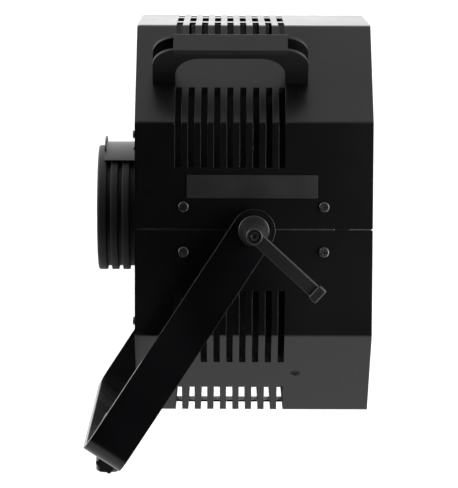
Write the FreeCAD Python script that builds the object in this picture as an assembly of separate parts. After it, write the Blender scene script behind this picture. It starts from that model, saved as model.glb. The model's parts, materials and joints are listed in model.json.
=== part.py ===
"""Fresnel spotlight: octagonal vented housing, flash-head collar, tilting yoke and stand socket.

Units are millimetres.  Everything is drawn about the tilt axis of the housing, which is the line
X = 0, Z = 0, and each solid is moved as it is written, so that the finished model has its origin
at the mouth of the stand socket.  +X is the way the light leaves, +Z is up, the side with the
clamp lever is -Y and is called the right side, as seen from behind the lamp.
"""
import FreeCAD, Part
import math
import os

Vec = FreeCAD.Vector
X_AXIS, Y_AXIS, Z_AXIS = Vec(1, 0, 0), Vec(0, 1, 0), Vec(0, 0, 1)
HERE = Vec(0, 0, 0)

# ---- housing ------------------------------------------------------------------------------
HOUSING_LENGTH = 220.0       # along X, over the rear panel
HOUSING_WIDTH = 360.0        # across the vertical side flats
HOUSING_HEIGHT = 368.0       # across the top and bottom flats
SIDE_FLAT = 198.0            # height of each vertical side flat; the corners are cut at 45 degrees
BEND_RADIUS = 5.0            # outside radius of the folds
SHEET = 1.5                  # housing sheet thickness
SEAM_GAP = 1.2               # open line between the two half shells
SEAM_PLATE_HEIGHT = 28.0     # joint strip across the seam, inside the hood
SEAM_PLATE_PLAY = 1.0        # at each of its ends
REAR_FLANGE = 18.0           # depth of the inturned rear flange of each half shell
REAR_PANEL_THICKNESS = 2.0
REAR_PANEL_INSET = 0.5       # the panel outline stands this far inside the shell outline
INNER_GAP = 0.2              # play between the shells and the sheet parts inside them

# ---- cooling slots ------------------------------------------------------------------------
SLOT_COUNT = 9
SLOT_PITCH = 12.0
SLOT_WIDTH = 6.0
SLOT_GROUP_X = -22.0         # middle of the slot rows
SLOT_SIDE_START = 57.0       # distance of the side slots from the seam plane
SLOT_FACET_END = 30.0        # how far the side slots run inward past the bend
SLOT_FACET_START = 57.5      # inward distance from the bend where the roof slots start
ROOF_BAR_OUTER = 52.0        # the bar between roof slots lies between these distances
ROOF_BAR_INNER = 31.0        # from the middle plane
BAFFLE_DEPTH = 30.0          # light traps stand this far inside the flats
BAFFLE_FOOT = 14.0           # the foot strip lies this far below the side slots
BAFFLE_MARGIN = 2.0          # its ends stand this far outside the outermost slots

# ---- front optics -------------------------------------------------------------------------
HOOD_DEPTH = 22.0            # the housing runs this far past the lens frame
FRAME_SHEET = 2.0
FRAME_FLANGE = 12.0
TAB_WIDTH = 24.0             # tongues of the frame that take the facet screws
TAB_END = 9.0                # length of a tongue past its screw
LENS_RADIUS = 152.0
LENS_EDGE = 4.0              # thickness of the plain lens rim
LENS_BODY = 5.0              # glass behind the rings
LENS_RINGS = 13
LENS_EYE_RADIUS = 21.0       # plain convex middle
LENS_EDGE_SLOPE = 27.0       # degrees, facet slope at the outermost ring
LENS_CLEARANCE = 0.5
FRAME_LAND = 5.0             # overlap of the frame over the lens rim
GASKET = 1.5
RING_SHEET = 1.5
RING_WIDTH = 13.0
RING_SCREWS = 8

# ---- rear collar --------------------------------------------------------------------------
HEAD_RADIUS = 50.0           # the flash head that the collar takes is 100 mm across
COLLAR_WALL = 11.0           # rubber between the flash head and the tops of the ribs
COLLAR_LENGTH = 40.0
GROOVE_DEPTH = 3.7
COLLAR_LIP = 9.0             # axial length of the rear ring
COLLAR_GROOVE = 4.0
COLLAR_RIB = 7.0
LIP_ROUND = 2.5
SPIGOT_LENGTH = 12.0         # metal ring that the rubber collar is bonded over
SPIGOT_WALL = 2.4
SPIGOT_RELIEF = 0.6          # the metal ring stands back from the flash head
MOUNT_FLANGE_WIDTH = 23.0    # from the flash head to the rim of the inner flange
MOUNT_FLANGE_THICKNESS = 4.0
MOUNT_SCREWS = 6

# ---- collar latch -------------------------------------------------------------------------
LATCH_SHEET = 2.0
LATCH_CLEARANCE = 0.4
LATCH_PAD = 1.2
LATCH_HALF_ANGLE = 39.0
LATCH_REAR = 33.5            # rear edge of the plate, behind the rear panel
LATCH_FRONT = 2.2            # front edge of the plate, behind the rear panel
LATCH_TAB_SHEET = 1.2
LATCH_TAB_HEIGHT = 5.5
LATCH_TAB_HALF_ANGLE = 27.0
LATCH_PIN_RADIUS = 1.2
LATCH_PIN_STANDOFF = 4.5     # pin axis behind the rear panel
LATCH_PIN_DEPTH = 2.7        # pin axis under the inner face of the plate
LATCH_BARREL_RADIUS = 2.3
LATCH_BARREL_HALF = 5.0      # half the length of the hinge barrel
PAD_INSET = 3.0              # pad from the rear edge of the plate
PAD_ANGLE_INSET = 8.0        # and degrees from its side edges
BRACKET_EAR = 3.0            # thickness of each ear
BRACKET_EAR_RADIUS = 2.0
BRACKET_SHEET = 1.2
BRACKET_HALF = 14.0          # half the length of the strip on the panel

# ---- handles ------------------------------------------------------------------------------
HANDLE_LENGTH = 144.0
HANDLE_HEIGHT = 46.5
HANDLE_WIDTH = 18.4          # over the two side plates
HANDLE_PLATE = 3.0
HANDLE_OPENING = 102.0
HANDLE_REACH = 35.4          # finger room under the grip
HANDLE_OUTER_ROUND = 21.5
HANDLE_INNER_ROUND = 23.0
HANDLE_WEB = 2.6
HANDLE_FOOT = 6.0
HANDLE_SET_IN = 46.7         # distance of the handle from the bend, along the facet
CAP_LENGTH = 105.0
CAP_OVERHANG = 1.5
CAP_THICKNESS = 5.0
CAP_PROUD = 1.0
CAP_ROUND = 1.2

# ---- name plate ---------------------------------------------------------------------------
PLATE_LENGTH = 121.0
PLATE_HEIGHT = 21.5
PLATE_THICKNESS = 0.8
PLATE_CORNER = 1.0
PLATE_X = -1.5
PLATE_Z = 39.8

# ---- side plates and pivots ---------------------------------------------------------------
SIDE_PLATE_REAR = 6.0        # play to the rear edge of the housing
SIDE_PLATE_FRONT = 75.0      # forward of the tilt axis
SIDE_PLATE_HEIGHT = 64.0
SIDE_PLATE_THICKNESS = 3.0
SIDE_PLATE_CORNER = 8.0
SIDE_SCREW_SPAN_X = 130.0
SIDE_SCREW_SPAN_Z = 42.0
BOSS_RADIUS = 14.0
BOSS_DEPTH = 12.0
PIVOT_RADIUS = 5.0           # M10
RUNNING_CLEARANCE = 0.05     # radial, between a pin and the hole that turns on it
FACE_CLEARANCE = 0.15        # between flat faces that slide on each other
FRICTION_WASHER_RADIUS = 17.0

# ---- screws -------------------------------------------------------------------------------
M5_HEAD_RADIUS = 4.8
M5_HEAD_HEIGHT = 2.2
M5_RADIUS = 2.5
M4_HEAD_RADIUS = 3.8
M4_HEAD_HEIGHT = 2.0
M4_RADIUS = 2.0
RECESS_DEPTH = 1.2
RECESS_WIDTH = 1.1
REAR_SCREW_END = 12.0        # rear panel screws from the ends of the side flats
FACET_SCREW_X = 40.0
FLUSH_HEAD_RADIUS = 4.8      # M5 countersunk

# ---- yoke ---------------------------------------------------------------------------------
YOKE_LEAN = 33.0             # degrees that the arms lean from upright in the stored pose
ARM_LENGTH = 260.0           # tilt axis to the outer face of the crossbar
BAR_WIDTH = 40.0
BAR_THICKNESS = 5.0
BAR_BEND = 20.0              # outside radius of the two folds
YOKE_GAP = 5.0               # between the housing and each arm

# ---- clamp lever --------------------------------------------------------------------------
LEVER_DROP = 42.6            # degrees below level
LEVER_REACH = 83.0
LEVER_WIDTH = 12.5
LEVER_THICKNESS = 7.0
LEVER_STANDOFF = 33.0        # inner face of the lever bar from the arm
LEVER_END_LENGTH = 9.0       # thick block at the end of the bar
LEVER_END_WIDTH = 15.5
LEVER_END_HEIGHT = 3.0
LEVER_END_ROUND = 2.0
HUB_BASE_RADIUS = 13.8
HUB_END_RADIUS = 7.6
HUB_HEIGHT = 45.0
LEVER_WASHER_RADIUS = 14.2
LEVER_WASHER_THICKNESS = 2.5
INSERT_RADIUS = 7.5
INSERT_LENGTH = 20.0
STUD_ENGAGEMENT = 16.0       # how far the pivot stud runs into the insert
THREAD_PLAY = 0.02           # radial, between the pivot stud and the insert that turns on it
CAP_SCREW_HEAD = 4.9         # radius of the cap screw head
CAP_SCREW_HEAD_HEIGHT = 4.2
CAP_SCREW_SET_IN = 0.8       # screw head below the end of the hub
CAP_SCREW_RADIUS = 2.5
CAP_SCREW_BITE = 4.0         # length of the cap screw's thread in the insert
SPRING_LENGTH = 11.0         # fitted length, between the lever and the cap screw head
SPRING_WIRE = 0.5            # wire radius
SPRING_TURNS = 5
COUNTERBORE_RADIUS = 5.6     # room for the cap screw head and the spring

# ---- knuckle and stand socket -------------------------------------------------------------
KNUCKLE_DROP = 14.0          # crossbar outer face to the stand tilt axis
KNUCKLE_RADIUS = 10.5
KNUCKLE_WIDTH = 28.0
LUG_WIDTH = 12.0
TILT_BOLT_RADIUS = 4.0
SOCKET_RADIUS = 12.0
SOCKET_DROP = 33.2           # stand tilt axis to the mouth of the socket
STUD_RADIUS = 8.1            # takes a 16 mm stand stud
STUD_DEPTH = 21.5
SOCKET_CHAMFER = 1.5
CROSSBAR_BOLT_RADIUS = 5.0
CROSSBAR_BOLT_HEAD = 8.5
CROSSBAR_BOLT_HEAD_HEIGHT = 5.0
KNOB_RADIUS = 11.0
KNOB_LENGTH = 16.0
KNOB_NECK = 4.0
LOCK_SCREW_RADIUS = 4.0
LOCK_SCREW_GRIP = 11.0       # length of the lock screw inside its knob
LOCK_KNOB_GAP = 1.5          # open thread between the socket and the knob
LOCK_HEIGHT = 14.0           # lock screw above the mouth of the socket

# ---- worked out from the driving sizes ------------------------------------------------------
REAR_X = -HOUSING_LENGTH / 2
FRONT_X = HOUSING_LENGTH / 2
SHELL_REAR_X = REAR_X + REAR_PANEL_THICKNESS
HALF_WIDTH = HOUSING_WIDTH / 2
HALF_HEIGHT = HOUSING_HEIGHT / 2
HALF_SIDE_FLAT = SIDE_FLAT / 2
FACET_RUN = HALF_HEIGHT - HALF_SIDE_FLAT
HALF_ROOF_FLAT = HALF_WIDTH - FACET_RUN
ARM_INNER_Y = HALF_WIDTH + YOKE_GAP
ARM_OUTER_Y = ARM_INNER_Y + BAR_THICKNESS
FRAME_X = FRONT_X - HOOD_DEPTH
LEAN = math.radians(YOKE_LEAN)
ARM_DOWN = Vec(-math.sin(LEAN), 0, -math.cos(LEAN))
CROSSBAR_CENTRE = ARM_DOWN * ARM_LENGTH
TILT_AXIS = ARM_DOWN * (ARM_LENGTH + KNUCKLE_DROP)
SOCKET_X = CROSSBAR_CENTRE.x
SOCKET_MOUTH_Z = TILT_AXIS.z - SOCKET_DROP
COLLAR_RADIUS = HEAD_RADIUS + COLLAR_WALL
MOUNT_FLANGE_RADIUS = HEAD_RADIUS + MOUNT_FLANGE_WIDTH
PIN_X = REAR_X - LATCH_PIN_STANDOFF
LATCH_INNER_RADIUS = COLLAR_RADIUS + LATCH_CLEARANCE + LATCH_PAD
LATCH_OUTER_RADIUS = LATCH_INNER_RADIUS + LATCH_SHEET
PIN_Z = LATCH_INNER_RADIUS - LATCH_PIN_DEPTH
LATCH_RANGE = (REAR_X - LATCH_REAR, REAR_X - LATCH_FRONT)
LOCK_Z = SOCKET_MOUTH_Z + LOCK_HEIGHT
LEVER_BASE = FACE_CLEARANCE + LEVER_WASHER_THICKNESS
INSERT_TOP = LEVER_BASE + INSERT_LENGTH
SCREW_SEAT = HUB_HEIGHT - CAP_SCREW_HEAD_HEIGHT - CAP_SCREW_SET_IN
SPRING_SEAT = SCREW_SEAT - SPRING_LENGTH
ORIGIN = Vec(SOCKET_X, 0, SOCKET_MOUTH_Z)
FAR = 600.0                  # longer than the whole lamp, for cutting tools

os.makedirs("parts", exist_ok=True)


# ---- shape helpers --------------------------------------------------------------------------
def write(node, shape):
    """Move a solid from the tilt-axis frame to the stand-socket frame and save it."""
    placed = shape.copy()
    placed.translate(ORIGIN * -1)
    placed.exportStep("parts/" + node + ".step")
    print(node, len(placed.Solids), round(placed.Volume / 1000, 2), "cm3", placed.isValid())


def block(x_range, y_range, z_range):
    size = [high - low for low, high in (x_range, y_range, z_range)]
    return Part.makeBox(size[0], size[1], size[2], Vec(x_range[0], y_range[0], z_range[0]))


def rod(radius, start, end):
    """A round bar between two points."""
    along = end - start
    return Part.makeCylinder(radius, along.Length, start, along)


def rod_x(radius, x_range, y=0.0, z=0.0):
    return rod(radius, Vec(x_range[0], y, z), Vec(x_range[1], y, z))


def rod_y(radius, y_range, x=0.0, z=0.0):
    return rod(radius, Vec(x, y_range[0], z), Vec(x, y_range[1], z))


def revolve_about_x(outline):
    """Turn an outline of (x, radius) points about the X axis."""
    points = [Vec(x, 0, radius) for x, radius in outline]
    wire = Part.makePolygon(points + [points[0]])
    return Part.Face(wire).revolve(HERE, X_AXIS, 360)


def mirror_y(shape):
    return shape.mirror(HERE, Y_AXIS)


def mirror_z(shape):
    return shape.mirror(HERE, Z_AXIS)


def both_sides(shape):
    return [shape, mirror_y(shape)]


def octagon_prism(inset, x_range, radius=0.0):
    """The housing outline, moved inward by inset and extruded along X."""
    shift = inset * math.tan(math.radians(22.5))
    wide, high = HALF_WIDTH - inset, HALF_HEIGHT - inset
    side, roof = HALF_SIDE_FLAT - shift, HALF_ROOF_FLAT - shift
    corners = [(wide, -side), (wide, side), (roof, high), (-roof, high),
               (-wide, side), (-wide, -side), (-roof, -high), (roof, -high)]
    points = [Vec(x_range[0], y, z) for y, z in corners]
    face = Part.Face(Part.makePolygon(points + [points[0]]))
    prism = face.extrude(Vec(x_range[1] - x_range[0], 0, 0))
    if radius > 0:
        folds = [edge for edge in prism.Edges if abs(edge.tangentAt(edge.FirstParameter).x) > 0.99]
        prism = prism.makeFillet(radius, folds)
    return prism


def facet_place(shape, out=0.0):
    """Carry a solid drawn flat on the XY plane to the upper right facet.

    Local Y runs up the facet from the bend, local Z stands out of it.
    """
    placed = shape.copy()
    placed.translate(Vec(0, 0, out))
    placed.rotate(HERE, X_AXIS, 45)
    placed.translate(Vec(0, -HALF_WIDTH, HALF_SIDE_FLAT))
    return placed


def round_plate(length, width, thickness, corner):
    """A flat plate on XY with rounded corners, centred, from Z = 0 up."""
    plate = block((-length / 2, length / 2), (-width / 2, width / 2), (0, thickness))
    uprights = [edge for edge in plate.Edges if abs(edge.tangentAt(edge.FirstParameter).z) > 0.99]
    return plate.makeFillet(corner, uprights)


def pan_screw(head_radius, head_height, shank_radius, grip):
    """Cross-recess pan head screw: head above Z = 0, shank below."""
    head = Part.makeCylinder(head_radius, head_height)
    top = [edge for edge in head.Edges if abs(edge.CenterOfMass.z - head_height) < 0.01]
    head = head.makeFillet(head_height * 0.45, top)
    reach = head_radius * 0.62
    low = head_height - RECESS_DEPTH
    across = block((-reach, reach), (-RECESS_WIDTH / 2, RECESS_WIDTH / 2), (low, head_height + 1))
    along = block((-RECESS_WIDTH / 2, RECESS_WIDTH / 2), (-reach, reach), (low, head_height + 1))
    shank = Part.makeCylinder(shank_radius, grip, Vec(0, 0, -grip))
    return head.cut(across.fuse(along)).fuse(shank)


def flush_screw(head_radius, head_height, shank_radius, grip):
    """Countersunk screw with its flat top at Z = 0."""
    head = Part.makeCone(shank_radius, head_radius, head_height, Vec(0, 0, -head_height))
    slot = block((-head_radius * 0.7, head_radius * 0.7), (-RECESS_WIDTH / 2, RECESS_WIDTH / 2),
                 (-RECESS_DEPTH, 1))
    cross = slot.copy()
    cross.rotate(HERE, Z_AXIS, 90)
    shank = Part.makeCylinder(shank_radius, grip, Vec(0, 0, -grip))
    return head.fuse(shank).cut(slot.fuse(cross))


def aim(shape, direction, place):
    """Turn local +Z to a direction, then move the solid to its place."""
    turned = shape.copy()
    turned.Placement = FreeCAD.Placement(place, FreeCAD.Rotation(Z_AXIS, direction))
    return turned


def ring_places(count, radius, first=0.0):
    """Points (y, z) evenly spaced on a circle, the first angle in degrees from +Z."""
    angles = [math.radians(first + 360.0 * i / count) for i in range(count)]
    return [(radius * math.sin(a), radius * math.cos(a)) for a in angles]


# ---- shared hole positions --------------------------------------------------------------------
def side_screw_places():
    return [(sx * SIDE_SCREW_SPAN_X / 2, sz * SIDE_SCREW_SPAN_Z / 2) for sx in (-1, 1) for sz in (-1, 1)]


def rear_screw_places():
    middle = HALF_WIDTH - SHEET - REAR_FLANGE / 2
    return [(sy * middle, sz * (HALF_SIDE_FLAT - REAR_SCREW_END)) for sy in (-1, 1) for sz in (-1, 1)]


def handle_screw_places():
    """Local (x, up the facet) places of the screws in the two feet of the upper right handle."""
    leg = (HANDLE_LENGTH + HANDLE_OPENING) / 4
    return [(SLOT_GROUP_X + side * leg, HANDLE_SET_IN + HANDLE_WIDTH / 2) for side in (-1, 1)]


def facet_screw_place():
    """Local (x, up the facet) place of the flush screw that holds the lens frame."""
    return FACET_SCREW_X, FACET_RUN * math.sqrt(2) / 2


# ---- housing shells ---------------------------------------------------------------------------
def slot_tools():
    """Cutters for one quarter of the slots: right side, upper half."""
    tools = []
    for i in range(SLOT_COUNT):
        middle = SLOT_GROUP_X + (i - (SLOT_COUNT - 1) / 2) * SLOT_PITCH
        x_range = (middle - SLOT_WIDTH / 2, middle + SLOT_WIDTH / 2)
        bend_up = HALF_SIDE_FLAT + FACET_RUN
        tools.append(block(x_range, (-HALF_WIDTH - 5, -HALF_WIDTH + SLOT_FACET_END), (SLOT_SIDE_START, bend_up)))
        roof_low = HALF_SIDE_FLAT + SLOT_FACET_START - 3 * SHEET
        tools.append(block(x_range, (-HALF_WIDTH + SLOT_FACET_START, -ROOF_BAR_OUTER), (roof_low, HALF_HEIGHT + 5)))
        tools.append(block(x_range, (-ROOF_BAR_INNER, 0), (HALF_HEIGHT - 3 * SHEET, HALF_HEIGHT + 5)))
    return tools


def upper_half_shell():
    length = (SHELL_REAR_X, FRONT_X)
    skin = octagon_prism(0, length, BEND_RADIUS)
    skin = skin.cut(octagon_prism(SHEET, (length[0] - 1, length[1] + 1), BEND_RADIUS - SHEET))
    flange = octagon_prism(SHEET / 2, (SHELL_REAR_X, SHELL_REAR_X + SHEET), BEND_RADIUS - SHEET / 2)
    flange = flange.cut(octagon_prism(SHEET + REAR_FLANGE, (SHELL_REAR_X - 1, SHELL_REAR_X + SHEET + 1)))
    shell = skin.fuse(flange).removeSplitter()
    shell = shell.common(block((-FAR, FAR), (-FAR, FAR), (SEAM_GAP / 2, FAR)))
    cutters = []
    for tool in slot_tools():
        cutters += both_sides(tool)
    for x, z in side_screw_places():
        cutters.append(rod_y(M5_RADIUS, (-FAR, FAR), x, z))
    for y, z in rear_screw_places():
        cutters.append(rod_x(M4_RADIUS, (-FAR, 0), y, z))
    cutters.append(rod_y(BOSS_RADIUS + INNER_GAP, (-FAR, FAR)))
    return shell.cut(Part.makeCompound(cutters))


def handle_screw_holes():
    holes = []
    for x, up in handle_screw_places():
        drill = facet_place(Part.makeCylinder(M5_RADIUS, 4 * SHEET, Vec(x, up, -2 * SHEET)))
        holes += both_sides(drill)
    return Part.makeCompound(holes)


def facet_screw_holes():
    x, up = facet_screw_place()
    sink = Part.makeCone(M5_RADIUS, FLUSH_HEAD_RADIUS, SHEET, Vec(x, up, -SHEET))
    return Part.makeCompound(both_sides(mirror_z(facet_place(sink))))


def rear_panel():
    panel = octagon_prism(REAR_PANEL_INSET, (REAR_X, SHELL_REAR_X), BEND_RADIUS - REAR_PANEL_INSET)
    panel = panel.cut(rod_x(HEAD_RADIUS + SPIGOT_RELIEF + SPIGOT_WALL, (-FAR, 0)))
    holes = [rod_x(M4_RADIUS, (-FAR, 0), y, z) for y, z in rear_screw_places()]
    holes += [rod_x(M4_RADIUS, (-FAR, 0), y, z) for y, z in mount_screw_places()]
    return panel.cut(Part.makeCompound(holes))


def screw_row(screw, direction, places):
    return Part.makeCompound([aim(screw, direction, place) for place in places])


def rear_screws():
    screw = pan_screw(M4_HEAD_RADIUS, M4_HEAD_HEIGHT, M4_RADIUS, REAR_PANEL_THICKNESS + SHEET + 3)
    return screw_row(screw, X_AXIS * -1, [Vec(REAR_X, y, z) for y, z in rear_screw_places()])


def side_screws():
    grip = SHEET + SIDE_PLATE_THICKNESS + 2
    screw = pan_screw(M5_HEAD_RADIUS, M5_HEAD_HEIGHT, M5_RADIUS, grip)
    right = screw_row(screw, Y_AXIS * -1, [Vec(x, -HALF_WIDTH, z) for x, z in side_screw_places()])
    return Part.makeCompound(both_sides(right))


def facet_screws():
    x, up = facet_screw_place()
    screw = flush_screw(FLUSH_HEAD_RADIUS, SHEET, M5_RADIUS, SHEET + INNER_GAP + FRAME_SHEET)
    screw.translate(Vec(x, up, 0))
    return Part.makeCompound(both_sides(mirror_z(facet_place(screw))))


def name_plate():
    plate = round_plate(PLATE_LENGTH, PLATE_HEIGHT, PLATE_THICKNESS, PLATE_CORNER)
    return aim(plate, Y_AXIS * -1, Vec(PLATE_X, -HALF_WIDTH, PLATE_Z))


def folded_tray(outer_y, outer_z, inner_y, inner_z):
    """Sheet tray closed at both ends, whose open side lies on the inside of the housing."""
    reach = (SLOT_COUNT - 1) / 2 * SLOT_PITCH + SLOT_WIDTH / 2 + BAFFLE_MARGIN
    x_range = (SLOT_GROUP_X - reach, SLOT_GROUP_X + reach)
    hollow_x = (x_range[0] + SHEET, x_range[1] - SHEET)
    solid = octagon_prism(SHEET, x_range, BEND_RADIUS).common(block(x_range, outer_y, outer_z))
    return solid.cut(block(hollow_x, inner_y, inner_z))


def roof_baffle():
    """Light trap under the roof slots, meeting the facets on both sides."""
    floor = HALF_HEIGHT - BAFFLE_DEPTH
    return folded_tray((-FAR, FAR), (floor - SHEET, FAR), (-FAR, FAR), (floor, FAR))


def side_baffle():
    """Light trap behind the upper side slots of the right side, with a strip along its foot."""
    wall = -HALF_WIDTH + BAFFLE_DEPTH
    foot = SLOT_SIDE_START - BAFFLE_FOOT
    return folded_tray((-FAR, wall + SHEET), (foot - SHEET, FAR), (-FAR, wall), (foot, FAR))


def seam_plate():
    """Plated joint strip behind the seam, in the open hood; right side."""
    y_range = (-HALF_WIDTH + SHEET, -HALF_WIDTH + 2 * SHEET)
    x_range = (FRAME_X + SEAM_PLATE_PLAY, FRONT_X - SEAM_PLATE_PLAY)
    return block(x_range, y_range, (-SEAM_PLATE_HEIGHT / 2, SEAM_PLATE_HEIGHT / 2))


# ---- side plates and pivots ---------------------------------------------------------------------
def side_plate():
    """Right side plate with its threaded pivot boss, joining the two half shells inside."""
    inner_y = -HALF_WIDTH + SHEET
    rear = REAR_X + SIDE_PLATE_REAR
    length = SIDE_PLATE_FRONT - rear
    plate = round_plate(length, SIDE_PLATE_HEIGHT, SIDE_PLATE_THICKNESS, SIDE_PLATE_CORNER)
    plate = aim(plate, Y_AXIS, Vec(rear + length / 2, inner_y, 0))
    boss = rod_y(BOSS_RADIUS, (-HALF_WIDTH, inner_y + BOSS_DEPTH))
    holes = [rod_y(M5_RADIUS, (-FAR, 0), x, z) for x, z in side_screw_places()]
    holes.append(rod_y(PIVOT_RADIUS, (-FAR, 0)))
    return plate.fuse(boss).removeSplitter().cut(Part.makeCompound(holes))


def friction_washer():
    outer = rod_y(FRICTION_WASHER_RADIUS, (-ARM_INNER_Y + FACE_CLEARANCE, -HALF_WIDTH))
    return outer.cut(rod_y(PIVOT_RADIUS, (-FAR, 0)))


def right_pivot_stud():
    end = ARM_OUTER_Y + LEVER_BASE + STUD_ENGAGEMENT
    return rod_y(PIVOT_RADIUS, (-end, -HALF_WIDTH + SHEET + BOSS_DEPTH))


def left_pivot_bolt():
    washer_out = ARM_OUTER_Y + FACE_CLEARANCE + LEVER_WASHER_THICKNESS
    hexagon = [Vec(8.5 * math.cos(math.radians(60 * i)), 8.5 * math.sin(math.radians(60 * i)), 0) for i in range(6)]
    head = Part.Face(Part.makePolygon(hexagon + [hexagon[0]])).extrude(Vec(0, 0, 6.5))
    head = head.common(Part.makeSphere(11.5, Vec(0, 0, -2.5)))
    head = aim(head, Y_AXIS, Vec(0, washer_out, 0))
    return head.fuse(rod_y(PIVOT_RADIUS, (HALF_WIDTH - SHEET - BOSS_DEPTH, washer_out + 1)))


def left_pivot_washer():
    inner = ARM_OUTER_Y + FACE_CLEARANCE
    outer = rod_y(LEVER_WASHER_RADIUS, (inner, inner + LEVER_WASHER_THICKNESS))
    return outer.cut(rod_y(PIVOT_RADIUS, (0, FAR)))


# ---- front optics -----------------------------------------------------------------------------
def lens_frame():
    play = SHEET + INNER_GAP
    corner = BEND_RADIUS - play
    plate = octagon_prism(play, (FRAME_X - FRAME_SHEET, FRAME_X), corner)
    flange = octagon_prism(play, (FRAME_X - FRAME_FLANGE, FRAME_X), corner)
    flange = flange.cut(octagon_prism(play + FRAME_SHEET, (-FAR, FAR)))
    x, up = facet_screw_place()
    tab = block((x - TAB_END, FRAME_X), (up - TAB_WIDTH / 2, up + TAB_WIDTH / 2), (-play - FRAME_SHEET, -play))
    tab = tab.cut(Part.makeCylinder(M5_RADIUS, FAR, Vec(x, up, -FAR / 2)))
    frame = plate.fuse([flange] + both_sides(mirror_z(facet_place(tab)))).removeSplitter()
    holes = [rod_x(LENS_RADIUS - FRAME_LAND, (-FAR, FAR))]
    holes += [rod_x(M4_RADIUS, (-FAR, FAR), y, z) for y, z in ring_screw_places()]
    return frame.cut(Part.makeCompound(holes))


def lens_gasket():
    x_range = (FRAME_X - FRAME_SHEET - GASKET, FRAME_X - FRAME_SHEET)
    return rod_x(LENS_RADIUS, x_range).cut(rod_x(LENS_RADIUS - FRAME_LAND, (-FAR, FAR)))


def fresnel_lens():
    """Flat at the back, stepped prisms in front, with a plain rim that the ring clamps."""
    rim_front = FRAME_X - FRAME_SHEET - GASKET
    back = rim_front - LENS_EDGE
    crest = back + LENS_BODY
    stepped_radius = LENS_RADIUS - FRAME_LAND - LENS_CLEARANCE
    step = (stepped_radius - LENS_EYE_RADIUS) / LENS_RINGS
    outline = [(back, 0.0)]
    eye_rise = LENS_EYE_RADIUS * math.tan(math.radians(4.0))
    for i in range(9):
        radius = LENS_EYE_RADIUS * i / 8
        outline.append((crest + eye_rise * (1 - (i / 8) ** 2), radius))
    for i in range(LENS_RINGS):
        inner = LENS_EYE_RADIUS + i * step
        slope = math.radians(LENS_EDGE_SLOPE * (inner + step) / stepped_radius)
        outline.append((crest - 1.0 + step * math.tan(slope), inner + 0.15))
        outline.append((crest - 1.0, inner + step))
    outline.append((rim_front, stepped_radius + 0.2))
    outline.append((rim_front, LENS_RADIUS))
    outline.append((back, LENS_RADIUS))
    return revolve_about_x(outline)


def ring_screw_places():
    return ring_places(RING_SCREWS, LENS_RADIUS + RING_WIDTH / 2 - 1, 22.5)


def lens_ring():
    """Turned clamp ring behind the lens: a flat annulus with a skirt round the rim."""
    rim_back = FRAME_X - FRAME_SHEET - GASKET - LENS_EDGE
    outer = LENS_RADIUS + RING_WIDTH - 1
    flat = rod_x(outer, (rim_back - RING_SHEET, rim_back)).cut(rod_x(LENS_RADIUS - 3, (-FAR, FAR)))
    skirt = rod_x(outer, (rim_back, FRAME_X - FRAME_SHEET)).cut(rod_x(LENS_RADIUS + LENS_CLEARANCE, (-FAR, FAR)))
    ring = flat.fuse(skirt).removeSplitter()
    return ring.cut(Part.makeCompound([rod_x(M4_RADIUS, (-FAR, FAR), y, z) for y, z in ring_screw_places()]))


def lens_ring_screws():
    rear = FRAME_X - FRAME_SHEET - GASKET - LENS_EDGE - RING_SHEET
    screw = pan_screw(M4_HEAD_RADIUS, M4_HEAD_HEIGHT, M4_RADIUS, FRAME_X - rear)
    return screw_row(screw, X_AXIS * -1, [Vec(rear, y, z) for y, z in ring_screw_places()])


# ---- rear collar ------------------------------------------------------------------------------
def mount_screw_places():
    return ring_places(MOUNT_SCREWS, MOUNT_FLANGE_RADIUS - 4.5, 30)


def mount_ring():
    """Aluminium ring: a flange inside the rear panel and a spigot out through it."""
    bore = HEAD_RADIUS + SPIGOT_RELIEF
    spigot = rod_x(bore + SPIGOT_WALL, (REAR_X - SPIGOT_LENGTH, SHELL_REAR_X))
    flange = rod_x(MOUNT_FLANGE_RADIUS, (SHELL_REAR_X, SHELL_REAR_X + MOUNT_FLANGE_THICKNESS))
    ring = spigot.fuse(flange).removeSplitter().cut(rod_x(bore, (-FAR, FAR)))
    return ring.cut(Part.makeCompound([rod_x(M4_RADIUS, (-FAR, 0), y, z) for y, z in mount_screw_places()]))


def mount_ring_screws():
    screw = pan_screw(M4_HEAD_RADIUS, M4_HEAD_HEIGHT, M4_RADIUS, REAR_PANEL_THICKNESS + MOUNT_FLANGE_THICKNESS)
    return screw_row(screw, X_AXIS * -1, [Vec(REAR_X, y, z) for y, z in mount_screw_places()])


def head_collar():
    """Ribbed rubber collar that grips the flash head."""
    rear = REAR_X - COLLAR_LENGTH
    body = rod_x(COLLAR_RADIUS, (rear, REAR_X))
    lip = [edge for edge in body.Edges if abs(edge.CenterOfMass.x - rear) < 0.01]
    body = body.makeFillet(LIP_ROUND, lip)
    grooves = []
    start = rear + COLLAR_LIP
    while start < REAR_X - COLLAR_GROOVE:
        grooves.append((start, start + COLLAR_GROOVE))
        start += COLLAR_GROOVE + COLLAR_RIB
    grooves[-1] = (grooves[-1][0], REAR_X)
    for groove in grooves:
        cutter = rod_x(COLLAR_RADIUS + 1, groove).cut(rod_x(COLLAR_RADIUS - GROOVE_DEPTH, groove))
        body = body.cut(cutter)
    body = body.cut(rod_x(HEAD_RADIUS, (-FAR, FAR)))
    spigot = rod_x(HEAD_RADIUS + SPIGOT_RELIEF + SPIGOT_WALL, (REAR_X - SPIGOT_LENGTH, 0))
    body = body.cut(spigot)
    mouth = Part.makeCone(HEAD_RADIUS + 2, HEAD_RADIUS, 2, Vec(rear, 0, 0), X_AXIS)
    return body.cut(mouth)


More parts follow.
